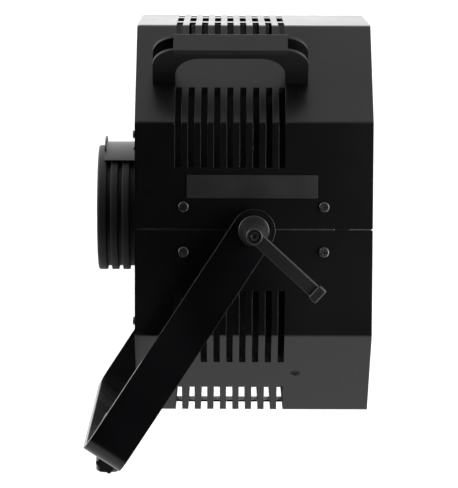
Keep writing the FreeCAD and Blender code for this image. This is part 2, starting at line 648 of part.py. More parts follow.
def sector(radius_range, x_range, half_angle):
    """Part of a tube about the X axis, centred on +Z."""
    tube = rod_x(radius_range[1], x_range).cut(rod_x(radius_range[0], (-FAR, FAR)))
    reach = radius_range[1] + 5
    spread = math.radians(half_angle)
    corner = Vec(x_range[0] - 1, reach * math.tan(spread), reach)
    points = [Vec(corner.x, 0, 0), corner, Vec(corner.x, -corner.y, reach)]
    wedge = Part.Face(Part.makePolygon(points + [points[0]])).extrude(Vec(x_range[1] - x_range[0] + 2, 0, 0))
    return tube.common(wedge)


def latch_plate():
    """Curved clamp plate over the ribs, with a thumb tab behind and a hinge barrel under its front."""
    rear = LATCH_RANGE[0]
    plate = sector((LATCH_INNER_RADIUS, LATCH_OUTER_RADIUS), LATCH_RANGE, LATCH_HALF_ANGLE)
    tab = sector((LATCH_INNER_RADIUS, LATCH_OUTER_RADIUS + LATCH_TAB_HEIGHT), (rear, rear + LATCH_TAB_SHEET),
                 LATCH_TAB_HALF_ANGLE)
    y_range = (-LATCH_BARREL_HALF, LATCH_BARREL_HALF)
    barrel = rod_y(LATCH_BARREL_RADIUS, y_range, PIN_X, PIN_Z)
    web_x = (PIN_X - LATCH_BARREL_RADIUS, PIN_X + LATCH_BARREL_RADIUS)
    web = block(web_x, y_range, (PIN_Z, LATCH_INNER_RADIUS + LATCH_SHEET / 2))
    plate = plate.fuse([tab, barrel, web]).removeSplitter()
    return plate.cut(rod_y(LATCH_PIN_RADIUS + RUNNING_CLEARANCE, (-FAR, FAR), PIN_X, PIN_Z))


def latch_pad():
    x_range = (LATCH_RANGE[0] + PAD_INSET, PIN_X - LATCH_BARREL_RADIUS - LATCH_CLEARANCE)
    pad_radii = (LATCH_INNER_RADIUS - LATCH_PAD, LATCH_INNER_RADIUS)
    return sector(pad_radii, x_range, LATCH_HALF_ANGLE - PAD_ANGLE_INSET)


def latch_pin():
    reach = LATCH_BARREL_HALF + FACE_CLEARANCE + BRACKET_EAR
    return rod_y(LATCH_PIN_RADIUS, (-reach, reach), PIN_X, PIN_Z)


def latch_bracket():
    """Strip welded to the rear panel, with one ear outside each end of the hinge barrel."""
    strip_z = (PIN_Z - BRACKET_EAR_RADIUS, PIN_Z)
    pieces = [block((REAR_X - BRACKET_SHEET, REAR_X), (-BRACKET_HALF, BRACKET_HALF), strip_z)]
    inner = LATCH_BARREL_HALF + FACE_CLEARANCE
    for y_range in ((inner, inner + BRACKET_EAR), (-inner - BRACKET_EAR, -inner)):
        pieces.append(block((PIN_X, REAR_X), y_range, strip_z))
        pieces.append(rod_y(BRACKET_EAR_RADIUS, y_range, PIN_X, PIN_Z))
    bracket = pieces[0].fuse(pieces[1:]).removeSplitter()
    return bracket.cut(rod_y(LATCH_PIN_RADIUS, (-FAR, FAR), PIN_X, PIN_Z))


# ---- handles ----------------------------------------------------------------------------------
def arch(length, height, corner, y_range):
    """An upright slab in XZ with two rounded top corners, from Z = 0 up."""
    slab = block((-length / 2, length / 2), y_range, (0, height))
    tops = [edge for edge in slab.Edges
            if abs(edge.CenterOfMass.z - height) < 0.01 and abs(abs(edge.CenterOfMass.x) - length / 2) < 0.01]
    return slab.makeFillet(corner, tops)


def right_handle():
    """Moulded bridge handle: two side plates, an inner web round the finger hole and two feet."""
    width = (0.0, HANDLE_WIDTH)
    body = arch(HANDLE_LENGTH, HANDLE_HEIGHT, HANDLE_OUTER_ROUND, width)
    hollow = arch(HANDLE_LENGTH + 2, HANDLE_HEIGHT + 1, HANDLE_OUTER_ROUND,
                  (HANDLE_PLATE, HANDLE_WIDTH - HANDLE_PLATE))
    core = arch(HANDLE_OPENING + 2 * HANDLE_WEB, HANDLE_REACH + HANDLE_WEB, HANDLE_INNER_ROUND + HANDLE_WEB, width)
    feet = block((-HANDLE_LENGTH / 2, HANDLE_LENGTH / 2), width, (0, HANDLE_FOOT))
    body = body.cut(hollow.cut(core).cut(feet))
    hole = arch(HANDLE_OPENING, HANDLE_REACH, HANDLE_INNER_ROUND, (-1, HANDLE_WIDTH + 1))
    low = block((-HANDLE_OPENING / 2, HANDLE_OPENING / 2), (-1, HANDLE_WIDTH + 1), (-1, 1))
    body = body.cut(hole.fuse(low)).removeSplitter()
    body.translate(Vec(SLOT_GROUP_X, HANDLE_SET_IN, 0))
    drills = [Part.makeCylinder(M5_RADIUS, HANDLE_FOOT + 2, Vec(x, up, -1)) for x, up in handle_screw_places()]
    return facet_place(body.cut(Part.makeCompound(drills)))


def right_handle_cap():
    """Smooth cover over the straight part of the grip."""
    low = HANDLE_HEIGHT + CAP_PROUD - CAP_THICKNESS
    y_range = (-CAP_OVERHANG, HANDLE_WIDTH + CAP_OVERHANG)
    cap = block((-CAP_LENGTH / 2, CAP_LENGTH / 2), y_range, (low, HANDLE_HEIGHT + CAP_PROUD))
    long_tops = [edge for edge in cap.Edges
                 if abs(edge.tangentAt(edge.FirstParameter).x) > 0.99 and edge.CenterOfMass.z > low + 1]
    cap = cap.makeFillet(CAP_ROUND, long_tops)
    lids = [(0, HANDLE_PLATE), (HANDLE_WIDTH - HANDLE_PLATE, HANDLE_WIDTH)]
    rebates = [block((-CAP_LENGTH, CAP_LENGTH), lid, (0, HANDLE_HEIGHT)) for lid in lids]
    cap = cap.cut(Part.makeCompound(rebates))
    cap.translate(Vec(SLOT_GROUP_X, HANDLE_SET_IN, 0))
    return facet_place(cap)


def handle_screws():
    """Screws from inside the housing up into the handle feet."""
    screw = pan_screw(M5_HEAD_RADIUS, M5_HEAD_HEIGHT, M5_RADIUS, SHEET + HANDLE_FOOT)
    screw.rotate(HERE, X_AXIS, 180)
    placed = []
    for x, up in handle_screw_places():
        one = screw.copy()
        one.translate(Vec(x, up, -SHEET))
        placed.append(facet_place(one))
    return Part.makeCompound(placed + [mirror_y(one) for one in placed])


# ---- yoke -------------------------------------------------------------------------------------
def lean(shape):
    """Turn a solid drawn on an upright yoke to the stored lean, about the tilt axis."""
    turned = shape.copy()
    turned.rotate(HERE, Y_AXIS, YOKE_LEAN)
    return turned


def yoke_bracket():
    """Flat bar folded to a U, with full-round arm ends about the tilt axis."""
    half = BAR_WIDTH / 2
    outer = block((-half, half), (-ARM_OUTER_Y, ARM_OUTER_Y), (-ARM_LENGTH, 0))
    low = [edge for edge in outer.Edges
           if abs(edge.tangentAt(edge.FirstParameter).x) > 0.99 and edge.CenterOfMass.z < -ARM_LENGTH + 1]
    outer = outer.makeFillet(BAR_BEND, low)
    inner = block((-FAR, FAR), (-ARM_INNER_Y, ARM_INNER_Y), (-ARM_LENGTH + BAR_THICKNESS, FAR))
    low = [edge for edge in inner.Edges
           if abs(edge.tangentAt(edge.FirstParameter).x) > 0.99 and edge.CenterOfMass.z < 0]
    inner = inner.makeFillet(BAR_BEND - BAR_THICKNESS, low)
    ends = rod_y(half, (-ARM_OUTER_Y, ARM_OUTER_Y))
    bracket = outer.fuse(ends).cut(inner).removeSplitter()
    holes = [rod_y(PIVOT_RADIUS + RUNNING_CLEARANCE, (-FAR, FAR)),
             rod(CROSSBAR_BOLT_RADIUS, Vec(0, 0, -ARM_LENGTH - 1), Vec(0, 0, -ARM_LENGTH + BAR_THICKNESS + 1))]
    return lean(bracket.cut(Part.makeCompound(holes)))


def knuckle():
    """Clevis block bolted under the crossbar; its ears straddle the socket lug."""
    half = KNUCKLE_WIDTH / 2
    axis_z = -ARM_LENGTH - KNUCKLE_DROP
    pad = block((-KNUCKLE_RADIUS, KNUCKLE_RADIUS), (-half, half), (axis_z, -ARM_LENGTH))
    block_body = pad.fuse(rod_y(KNUCKLE_RADIUS, (-half, half), 0, axis_z)).removeSplitter()
    gap = LUG_WIDTH / 2 + FACE_CLEARANCE
    roof = -ARM_LENGTH - KNUCKLE_DROP + KNUCKLE_RADIUS + 0.5
    slot = block((-FAR, FAR), (-gap, gap), (-FAR, roof))
    holes = [rod_y(TILT_BOLT_RADIUS, (-FAR, FAR), 0, axis_z),
             rod(CROSSBAR_BOLT_RADIUS, Vec(0, 0, roof - 1), Vec(0, 0, -ARM_LENGTH + 1))]
    return lean(block_body.cut(slot).cut(Part.makeCompound(holes)))


def knuckle_bolt():
    roof = -ARM_LENGTH - KNUCKLE_DROP + KNUCKLE_RADIUS + 1.0
    top = -ARM_LENGTH + BAR_THICKNESS
    shank = rod(CROSSBAR_BOLT_RADIUS, Vec(0, 0, roof), Vec(0, 0, top + 1))
    head = rod(CROSSBAR_BOLT_HEAD, Vec(0, 0, top), Vec(0, 0, top + CROSSBAR_BOLT_HEAD_HEIGHT))
    rim = [edge for edge in head.Edges if edge.CenterOfMass.z > top + 1 and edge.Length > 10]
    head = head.makeFillet(1.0, rim)
    socket = rod(4.0, Vec(0, 0, top + 2), Vec(0, 0, top + 10))
    return lean(head.fuse(shank).cut(socket))


def tilt_bolt():
    """Pin of the stand joint; the lock knob screws on its left end."""
    half = KNUCKLE_WIDTH / 2
    shank = rod_y(TILT_BOLT_RADIUS, (-half - 1, half + KNOB_LENGTH - 2), TILT_AXIS.x, TILT_AXIS.z)
    head = rod_y(TILT_BOLT_RADIUS + 3, (-half - 4.5, -half), TILT_AXIS.x, TILT_AXIS.z)
    key = rod_y(2.6, (-half - 6, -half - 2), TILT_AXIS.x, TILT_AXIS.z)
    return shank.fuse(head).cut(key)


# ---- clamp lever --------------------------------------------------------------------------------
def lever_place(shape):
    """Carry a solid drawn along +Z to the clamp lever's place outside the right arm."""
    placed = shape.copy()
    placed.rotate(HERE, X_AXIS, 90)
    placed.rotate(HERE, Y_AXIS, LEVER_DROP)
    placed.translate(Vec(0, -ARM_OUTER_Y, 0))
    return placed


def lever_handle():
    """Cast lever: tapered hub on the insert and a flat bar with a turned-up end."""
    low, high = LEVER_BASE, HUB_HEIGHT
    hub_outline = [(low, 0), (low, HUB_BASE_RADIUS - 0.8), (low + 1.2, HUB_BASE_RADIUS), (low + 5, HUB_BASE_RADIUS),
                   (low + 9, HUB_BASE_RADIUS - 1.5), (high - 4, HUB_END_RADIUS), (high - 0.8, HUB_END_RADIUS),
                   (high, HUB_END_RADIUS - 0.8), (high, 0)]
    points = [Vec(radius, 0, height) for height, radius in hub_outline]
    hub = Part.Face(Part.makePolygon(points + [points[0]])).revolve(HERE, Z_AXIS, 360)
    half = LEVER_WIDTH / 2
    top = LEVER_STANDOFF + LEVER_THICKNESS
    bar = block((0, LEVER_REACH), (-half, half), (LEVER_STANDOFF, top))
    long_edges = [edge for edge in bar.Edges if abs(edge.tangentAt(edge.FirstParameter).x) > 0.99]
    bar = bar.makeFillet(1.6, long_edges)
    end_half = LEVER_END_WIDTH / 2
    end_block = block((LEVER_REACH - LEVER_END_LENGTH, LEVER_REACH), (-end_half, end_half),
                      (LEVER_STANDOFF, top + LEVER_END_HEIGHT))
    end_block = end_block.makeFillet(LEVER_END_ROUND, end_block.Edges)
    body = hub.fuse([bar, end_block]).removeSplitter()
    insert_room = Part.makeCylinder(INSERT_RADIUS + RUNNING_CLEARANCE, INSERT_TOP)
    shaft_room = Part.makeCylinder(CAP_SCREW_RADIUS + RUNNING_CLEARANCE, HUB_HEIGHT)
    counterbore = Part.makeCylinder(COUNTERBORE_RADIUS, HUB_HEIGHT, Vec(0, 0, SPRING_SEAT))
    return lever_place(body.cut(insert_room).cut(shaft_room).cut(counterbore))


def lever_insert():
    """Threaded sleeve on the pivot stud, with a tapped hole for the cap screw in its end."""
    sleeve = Part.makeCylinder(INSERT_RADIUS, INSERT_LENGTH, Vec(0, 0, LEVER_BASE))
    sleeve = sleeve.cut(Part.makeCylinder(PIVOT_RADIUS + THREAD_PLAY, LEVER_BASE + STUD_ENGAGEMENT))
    return lever_place(sleeve.cut(Part.makeCylinder(CAP_SCREW_RADIUS, FAR, HERE)))


def lever_screw():
    """Cap screw that keeps the lever and its spring on the insert."""
    shank = Part.makeCylinder(CAP_SCREW_RADIUS, SCREW_SEAT + 1 - INSERT_TOP + CAP_SCREW_BITE,
                              Vec(0, 0, INSERT_TOP - CAP_SCREW_BITE))
    head = Part.makeCylinder(CAP_SCREW_HEAD, CAP_SCREW_HEAD_HEIGHT, Vec(0, 0, SCREW_SEAT))
    rim = [edge for edge in head.Edges if edge.CenterOfMass.z > SCREW_SEAT + 1 and edge.Length > 10]
    head = head.makeFillet(0.8, rim)
    key_floor = Vec(0, 0, SCREW_SEAT + CAP_SCREW_HEAD_HEIGHT - RECESS_DEPTH)
    key = Part.makeCylinder(CAP_SCREW_HEAD / 2, CAP_SCREW_HEAD_HEIGHT, key_floor)
    return lever_place(head.fuse(shank).cut(key))


def lever_spring():
    """Coil under the cap screw head that pushes the lever home on the insert's teeth."""
    rise = SPRING_LENGTH - 2 * SPRING_WIRE - 0.2
    middle = (COUNTERBORE_RADIUS + CAP_SCREW_RADIUS) / 2
    helix = Part.makeHelix(rise / SPRING_TURNS, rise, middle)
    section = Part.Wire(Part.makeCircle(SPRING_WIRE, Vec(middle, 0, 0), Y_AXIS))
    coil = Part.Wire(helix).makePipeShell([section], True, True)
    coil.translate(Vec(0, 0, SPRING_SEAT + SPRING_WIRE + 0.1))
    return lever_place(coil)


def lever_washer():
    washer = Part.makeCylinder(LEVER_WASHER_RADIUS, LEVER_WASHER_THICKNESS, Vec(0, 0, FACE_CLEARANCE))
    rim = [edge for edge in washer.Edges if edge.CenterOfMass.z > 1 and edge.Length > 10]
    washer = washer.makeFillet(0.6, rim)
    bore = Part.makeCylinder(PIVOT_RADIUS + RUNNING_CLEARANCE, FAR, Vec(0, 0, -FAR / 2))
    return lever_place(washer.cut(bore))


# ---- stand socket and knobs ---------------------------------------------------------------------
def stand_socket():
    """Socket for a 16 mm stud, with the lug that the knuckle turns on."""
    top = TILT_AXIS.z - TILT_BOLT_RADIUS - 2.5
    cup = rod(SOCKET_RADIUS, Vec(SOCKET_X, 0, SOCKET_MOUTH_Z), Vec(SOCKET_X, 0, top))
    rims = [edge for edge in cup.Edges if abs(edge.CenterOfMass.z - SOCKET_MOUTH_Z) < 0.01]
    cup = cup.makeChamfer(SOCKET_CHAMFER, rims)
    half = LUG_WIDTH / 2
    lug = rod_y(KNUCKLE_RADIUS - 0.5, (-half, half), TILT_AXIS.x, TILT_AXIS.z)
    stem = block((TILT_AXIS.x - KNUCKLE_RADIUS + 0.5, TILT_AXIS.x + 3), (-half, half), (top - 6, TILT_AXIS.z))
    within = block((TILT_AXIS.x - KNUCKLE_RADIUS + 0.5, SOCKET_X + SOCKET_RADIUS), (-FAR, FAR), (-FAR, FAR))
    clear = rod_y(KNUCKLE_RADIUS + 0.4, (-FAR, FAR), TILT_AXIS.x, TILT_AXIS.z)
    sides = clear.cut(block((-FAR, FAR), (-half, half), (-FAR, FAR)))
    body = cup.cut(sides).fuse([lug, stem.common(within)]).removeSplitter()
    bore = rod(STUD_RADIUS, Vec(SOCKET_X, 0, SOCKET_MOUTH_Z - 1), Vec(SOCKET_X, 0, SOCKET_MOUTH_Z + STUD_DEPTH))
    pin = rod_y(TILT_BOLT_RADIUS + RUNNING_CLEARANCE, (-FAR, FAR), TILT_AXIS.x, TILT_AXIS.z)
    screw = rod_y(LOCK_SCREW_RADIUS + RUNNING_CLEARANCE, (-FAR, 0), SOCKET_X, LOCK_Z)
    return body.cut(bore).cut(pin).cut(screw)


def fluted_knob(neck_radius):
    """Lobed grip knob along +Z with a plain neck below it."""
    grip = Part.makeCylinder(KNOB_RADIUS, KNOB_LENGTH, Vec(0, 0, KNOB_NECK))
    rims = [edge for edge in grip.Edges if edge.Length > 30]
    grip = grip.makeFillet(1.5, rims)
    lobes = 7
    flutes = []
    for i in range(lobes):
        angle = 2 * math.pi * i / lobes
        place = Vec(1.22 * KNOB_RADIUS * math.cos(angle), 1.22 * KNOB_RADIUS * math.sin(angle), 0)
        flutes.append(Part.makeCylinder(0.42 * KNOB_RADIUS, FAR, place))
    neck = Part.makeCylinder(neck_radius, KNOB_NECK + 1)
    return grip.cut(Part.makeCompound(flutes)).fuse(neck).removeSplitter()


def socket_knob():
    """Lock knob on the right of the socket."""
    knob = fluted_knob(LOCK_SCREW_RADIUS + 2.5).cut(Part.makeCylinder(LOCK_SCREW_RADIUS, LOCK_SCREW_GRIP))
    return aim(knob, Y_AXIS * -1, Vec(SOCKET_X, -SOCKET_RADIUS - LOCK_KNOB_GAP, LOCK_Z))


def socket_screw():
    end = SOCKET_RADIUS + LOCK_KNOB_GAP + LOCK_SCREW_GRIP
    return rod_y(LOCK_SCREW_RADIUS, (-end, -STUD_RADIUS - 0.2), SOCKET_X, LOCK_Z)


def tilt_knob():
    """Lock knob of the stand joint, on the left of the knuckle."""
    knob = fluted_knob(TILT_BOLT_RADIUS + 3).cut(Part.makeCylinder(TILT_BOLT_RADIUS + 2, KNOB_LENGTH - 1))
    return aim(knob, Y_AXIS, Vec(TILT_AXIS.x, KNUCKLE_WIDTH / 2 + FACE_CLEARANCE, TILT_AXIS.z))


def tilt_knob_insert():
    sleeve = Part.makeCylinder(TILT_BOLT_RADIUS + 2, KNOB_LENGTH - 1)
    sleeve = sleeve.cut(Part.makeCylinder(TILT_BOLT_RADIUS + RUNNING_CLEARANCE, FAR, Vec(0, 0, -FAR / 2)))
    return aim(sleeve, Y_AXIS, Vec(TILT_AXIS.x, KNUCKLE_WIDTH / 2 + FACE_CLEARANCE, TILT_AXIS.z))


# ---- write every piece ----------------------------------------------------------------------------
half_shell = upper_half_shell()
write("upper_shell", half_shell.cut(handle_screw_holes()))
write("lower_shell", mirror_z(half_shell).cut(facet_screw_holes()))
write("rear_panel", rear_panel())
write("rear_screws", rear_screws())
write("side_screws", side_screws())
write("facet_screws", facet_screws())
write("name_plate", name_plate())
write("roof_baffle", roof_baffle())
upper_side_baffle = side_baffle()
write("upper_right_baffle", upper_side_baffle)
write("upper_left_baffle", mirror_y(upper_side_baffle))
write("lower_right_baffle", mirror_z(upper_side_baffle))
write("lower_left_baffle", mirror_z(mirror_y(upper_side_baffle)))
write("right_seam_plate", seam_plate())
write("left_seam_plate", mirror_y(seam_plate()))
write("right_side_plate", side_plate())
write("left_side_plate", mirror_y(side_plate()))
write("right_friction_washer", friction_washer())
write("left_friction_washer", mirror_y(friction_washer()))
write("right_pivot_stud", right_pivot_stud())
write("left_pivot_bolt", left_pivot_bolt())
write("left_pivot_washer", left_pivot_washer())
write("lens_frame", lens_frame())
write("lens_gasket", lens_gasket())
write("fresnel_lens", fresnel_lens())
write("lens_ring", lens_ring())
write("lens_ring_screws", lens_ring_screws())
write("mount_ring", mount_ring())
write("mount_ring_screws", mount_ring_screws())
write("head_collar", head_collar())
write("latch_plate", latch_plate())
write("latch_pad", latch_pad())
write("latch_pin", latch_pin())
write("latch_bracket", latch_bracket())
write("right_handle", right_handle())
write("left_handle", mirror_y(right_handle()))
write("right_handle_cap", right_handle_cap())
write("left_handle_cap", mirror_y(right_handle_cap()))
write("handle_screws", handle_screws())
write("yoke_bracket", yoke_bracket())
write("knuckle", knuckle())
write("knuckle_bolt", knuckle_bolt())
write("tilt_bolt", tilt_bolt())
write("lever_handle", lever_handle())
write("lever_insert", lever_insert())
write("lever_screw", lever_screw())
write("lever_spring", lever_spring())
write("lever_washer", lever_washer())
write("stand_socket", stand_socket())
write("socket_knob", socket_knob())
write("socket_screw", socket_screw())
write("tilt_knob", tilt_knob())
write("tilt_knob_insert", tilt_knob_insert())
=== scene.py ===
"""Studio picture of the fresnel spotlight: finishes, turned and moulded detail, camera and light.

Everything is in metres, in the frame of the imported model: +X is the way the light leaves, +Z is up,
and the origin is the mouth of the stand socket.
"""
import json
import math

import bmesh
import bpy
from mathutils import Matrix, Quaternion, Vector


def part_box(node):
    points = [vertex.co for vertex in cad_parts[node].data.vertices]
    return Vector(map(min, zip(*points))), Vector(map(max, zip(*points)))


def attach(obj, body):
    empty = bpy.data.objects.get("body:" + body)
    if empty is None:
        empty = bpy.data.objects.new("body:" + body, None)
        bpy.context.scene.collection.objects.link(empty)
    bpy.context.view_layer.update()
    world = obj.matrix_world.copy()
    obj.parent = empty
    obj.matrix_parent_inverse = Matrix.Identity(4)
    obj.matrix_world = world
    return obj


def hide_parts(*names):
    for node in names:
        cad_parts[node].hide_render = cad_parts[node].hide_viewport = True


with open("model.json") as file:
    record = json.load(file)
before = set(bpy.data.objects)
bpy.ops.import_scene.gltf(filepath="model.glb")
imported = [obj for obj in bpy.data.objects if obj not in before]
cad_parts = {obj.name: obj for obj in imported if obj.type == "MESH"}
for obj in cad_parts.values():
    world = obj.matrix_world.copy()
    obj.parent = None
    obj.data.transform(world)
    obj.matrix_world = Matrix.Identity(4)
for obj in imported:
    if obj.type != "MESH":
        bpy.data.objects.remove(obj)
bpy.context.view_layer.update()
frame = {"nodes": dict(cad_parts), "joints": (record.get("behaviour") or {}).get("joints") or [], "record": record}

MM = 0.001
JOINTS = {joint["name"]: joint for joint in frame["joints"]}
MOUNTS = {mount["name"]: mount for mount in frame["record"]["mounts"]}
PIVOT = Vector(JOINTS["head_tilt"]["pos_m"])

# ---- camera: a long lens a little above the tilt axis, square to the right side -------------
CAMERA_FROM_PIVOT = Vector((-25.5, -2966.1, 336.7)) * MM
CAMERA_LENS = 224.25
CAMERA_YAW = math.radians(0.056)
CAMERA_PITCH = math.radians(-7.165)
CAMERA_ROLL = math.radians(0.203)
CAMERA_SIGHT = 300.0                        # farther than the end of the floor

# ---- studio ----------------------------------------------------------------------------------
FLOOR_Z = -0.55
FLOOR_FRONT = -0.7
FLOOR_BACK = 70.0
FLOOR_HALF_WIDTH = 45.0
# painted shade: the floor's tone close to the lamp
FLOOR_SHADED_TONE = (0.52, 0.52, 0.52)
FLOOR_FAR_TONE = (0.86, 0.86, 0.86)
FLOOR_SHADE_FADE = (0.4, 1.8)                     # the painted shade fades out between these distances along Y
FLOOR_MOTTLE = 0.1
FLOOR_ROUGHNESS = 0.9

# direction, the cosines where its glow starts and is full, and its brightness
WORLD_PANELS = [
    ((0.0, 1.0, 0.15), 0.0, 0.75, 2.45),
    ((0.0, 0.0, 1.0), 0.45, 0.95, 0.78),
    ((0.7, 0.0, 1.0), 0.80, 0.99, 0.5),
    ((1.0, -0.05, 0.1), 0.8, 0.95, 4.0),
    ((-1.0, -0.1, 0.5), 0.85, 0.97, 5.0),
]

SOFTBOX_FROM_PIVOT = (0.34, -0.40, -0.05)
SOFTBOX_TARGET = (0.10, -0.18, -0.02)
SOFTBOX_SIZE = (0.16, 0.6)
SOFTBOX_POWER = 1.8

# ---- collar and lens detail ------------------------------------------------------------------
COLLAR_LIP = 9.0 * MM
COLLAR_GROOVE = 4.0 * MM
COLLAR_RIB = 7.0 * MM
COLLAR_GROOVE_DEPTH = 3.7 * MM
COLLAR_LIP_ROUND = 2.5 * MM
COLLAR_RIB_ROUND = 0.8 * MM
COLLAR_GROOVE_ROUND = 0.5 * MM
COLLAR_MOUTH = 2.0 * MM                     # chamfer at the mouth of the bore
COLLAR_MOUTH_ROUNDS = (0.6 * MM, 1.0 * MM)
SPIGOT_LENGTH = 12.0 * MM
SPIGOT_RADIUS = 53.0 * MM
LENS_EDGE = 4.0 * MM
LENS_BODY = 5.0 * MM
LENS_EYE_RADIUS = 21.0 * MM
LENS_RING_COUNT = 26
LENS_CLEAR_RADIUS = 146.5 * MM
LENS_EDGE_SLOPE = math.radians(27.0)
LENS_EYE_RISE = 1.4 * MM
LENS_EYE_STEPS = 12
LENS_VALLEY = 1.0 * MM                      # foot of each prism below the crest of the glass
LENS_RISER = 0.1 * MM                       # slant of the steep side of each prism
LENS_RIM_STEP = 0.2 * MM
LATHE_SEGMENTS = 240
ROUND_STEPS = 4
SMOOTH_ANGLE = math.radians(32.0)


# ---- node helpers ----------------------------------------------------------------------------
class Material:
    """A principled material whose inputs are fed by short chains of procedural nodes."""

    def __init__(self, name, color, roughness, metallic=0.0, shine=0.5):
        self.material = bpy.data.materials.new(name)
        self.material.use_nodes = True
        self.tree = self.material.node_tree
        self.bsdf = self.tree.nodes["Principled BSDF"]
        self.bsdf.inputs["Base Color"].default_value = (*color, 1.0)
        self.bsdf.inputs["Roughness"].default_value = roughness
        self.bsdf.inputs["Metallic"].default_value = metallic
        self.bsdf.inputs["Specular IOR Level"].default_value = shine
        self.place = self.tree.nodes.new("ShaderNodeTexCoord").outputs["Object"]
        self.normal = None

    def node(self, kind, **values):
        made = self.tree.nodes.new(kind)
        for key, value in values.items():
            setattr(made, key, value)
        return made

    def feed(self, socket, value):
        if isinstance(value, bpy.types.NodeSocket):
            self.tree.links.new(value, socket)
        else:
            socket.default_value = value

    def noise(self, scale, detail=2.0, stretch=(1.0, 1.0, 1.0), rough=0.5):
        """Grey noise in object space; scale is cells per metre before the stretch."""
        mapping = self.node("ShaderNodeMapping")
        self.feed(mapping.inputs["Vector"], self.place)
        mapping.inputs["Scale"].default_value = stretch
        noise = self.node("ShaderNodeTexNoise")
        self.feed(noise.inputs["Vector"], mapping.outputs["Vector"])
        noise.inputs["Scale"].default_value = scale
        noise.inputs["Detail"].default_value = detail
        noise.inputs["Roughness"].default_value = rough
        return noise.outputs["Fac"]

    def span(self, value, low, high, from_low=0.3, from_high=0.7):
        """Carry a grey value from one range to another."""
        ranged = self.node("ShaderNodeMapRange")
        self.feed(ranged.inputs["Value"], value)
        ranged.inputs["From Min"].default_value = from_low
        ranged.inputs["From Max"].default_value = from_high
        ranged.inputs["To Min"].default_value = low
        ranged.inputs["To Max"].default_value = high
        return ranged.outputs["Result"]

    def math(self, operation, first, second):
        made = self.node("ShaderNodeMath", operation=operation)
        self.feed(made.inputs[0], first)
        self.feed(made.inputs[1], second)
        return made.outputs["Value"]

    def tint(self, factor, dark, light):
        """Mix two colours by a grey value."""
        mix = self.node("ShaderNodeMix", data_type="RGBA")
        self.feed(mix.inputs["Factor"], factor)
        mix.inputs["A"].default_value = (*dark, 1.0)
        mix.inputs["B"].default_value = (*light, 1.0)
        return mix.outputs["Result"]

    def soft_edges(self, radius):
        """Round every sharp edge in the shading, and return how near each point is to an edge."""
        bevel = self.node("ShaderNodeBevel", samples=6)
        bevel.inputs["Radius"].default_value = radius
        self.normal = bevel.outputs["Normal"]
        geometry = self.node("ShaderNodeNewGeometry")
        dot = self.node("ShaderNodeVectorMath", operation="DOT_PRODUCT")
        self.feed(dot.inputs[0], self.normal)
        self.feed(dot.inputs[1], geometry.outputs["Normal"])
        return self.span(dot.outputs["Value"], 1.0, 0.0, 0.80, 0.99)

    def bump(self, height, depth):
        made = self.node("ShaderNodeBump")
        made.inputs["Strength"].default_value = 1.0
        made.inputs["Distance"].default_value = depth
        self.feed(made.inputs["Height"], height)
        if self.normal is not None:
            self.feed(made.inputs["Normal"], self.normal)
        self.normal = made.outputs["Normal"]

    def done(self, color=None, roughness=None):
        if color is not None:
            self.feed(self.bsdf.inputs["Base Color"], color)
        if roughness is not None:
            self.feed(self.bsdf.inputs["Roughness"], roughness)
        if self.normal is not None:
            self.feed(self.bsdf.inputs["Normal"], self.normal)
        return self.material


def times(color, factor):
    return tuple(channel * factor for channel in color)


# ---- finishes --------------------------------------------------------------------------------
def powder_coat(name, color, roughness, grain=1400.0, depth=0.03 * MM, edge=0.5 * MM, lift_for_wear_and_highlight=2.2,
                shine=0.46):
    """Baked powder: fine orange peel, faint smudges, and edges painted lighter, partly as rubbed wear and partly
    as a painted edge highlight.
    """
    mat = Material(name, color, roughness, shine=shine)
    near_edge = mat.soft_edges(edge)
    smudge = mat.noise(9.0, 4.0)
    # edges painted lighter: rubbed wear and a painted edge highlight
    rubbed_and_highlit_edge = mat.math("MULTIPLY", near_edge, mat.span(mat.noise(120.0, 3.0), 0.25, 1.0))
    mat.bump(mat.noise(grain, 2.0), depth)
    shade = mat.math("ADD", mat.span(smudge, 0.0, 0.25), rubbed_and_highlit_edge)
    gloss = mat.span(smudge, roughness - 0.03, roughness + 0.05)
    return mat.done(mat.tint(shade, color, times(color, lift_for_wear_and_highlight)), gloss)


def moulded(name, color, roughness, grain, depth, edge, shine=0.33):
    """Moulded plastic or rubber with a sparked texture, soft edges, and every edge painted lighter as a painted
    highlight.
    """
    mat = Material(name, color, roughness, shine=shine)
    near_edge = mat.soft_edges(edge)
    cloud = mat.noise(25.0, 4.0)
    mat.bump(mat.noise(grain, 3.0, rough=0.6), depth)
    # painted highlight: every edge is painted lighter
    shade = mat.math("ADD", mat.span(cloud, 0.0, 0.5), mat.math("MULTIPLY", near_edge, 0.4))
    gloss = mat.span(cloud, roughness - 0.04, roughness + 0.06)
    return mat.done(mat.tint(shade, color, times(color, 1.7)), gloss)


def brushed(name, color, roughness, stretch, depth=0.01 * MM, edge=0.25 * MM):
    """Turned or brushed metal, its lines drawn out along one axis."""
    mat = Material(name, color, roughness, metallic=1.0)
    mat.soft_edges(edge)
    lines = mat.noise(600.0, 3.0, stretch)
    mat.bump(lines, depth)
    stain = mat.span(mat.noise(60.0, 3.0), 0.0, 1.0)
    gloss = mat.span(lines, roughness - 0.05, roughness + 0.12)
    return mat.done(mat.tint(stain, times(color, 0.8), color), gloss)


def clear_glass(name, color, roughness):
    """Pressed lens glass with a faint green body and a fine stipple."""
    mat = Material(name, color, roughness)
    mat.bsdf.inputs["Transmission Weight"].default_value = 1.0
    mat.bsdf.inputs["IOR"].default_value = 1.5
    mat.bump(mat.noise(700.0, 2.0), 0.02 * MM)
    streak = mat.span(mat.noise(14.0, 3.0), 0.0, 1.0)
    gloss = mat.span(streak, roughness, roughness + 0.03)
    return mat.done(mat.tint(streak, times(color, 0.97), color), gloss)


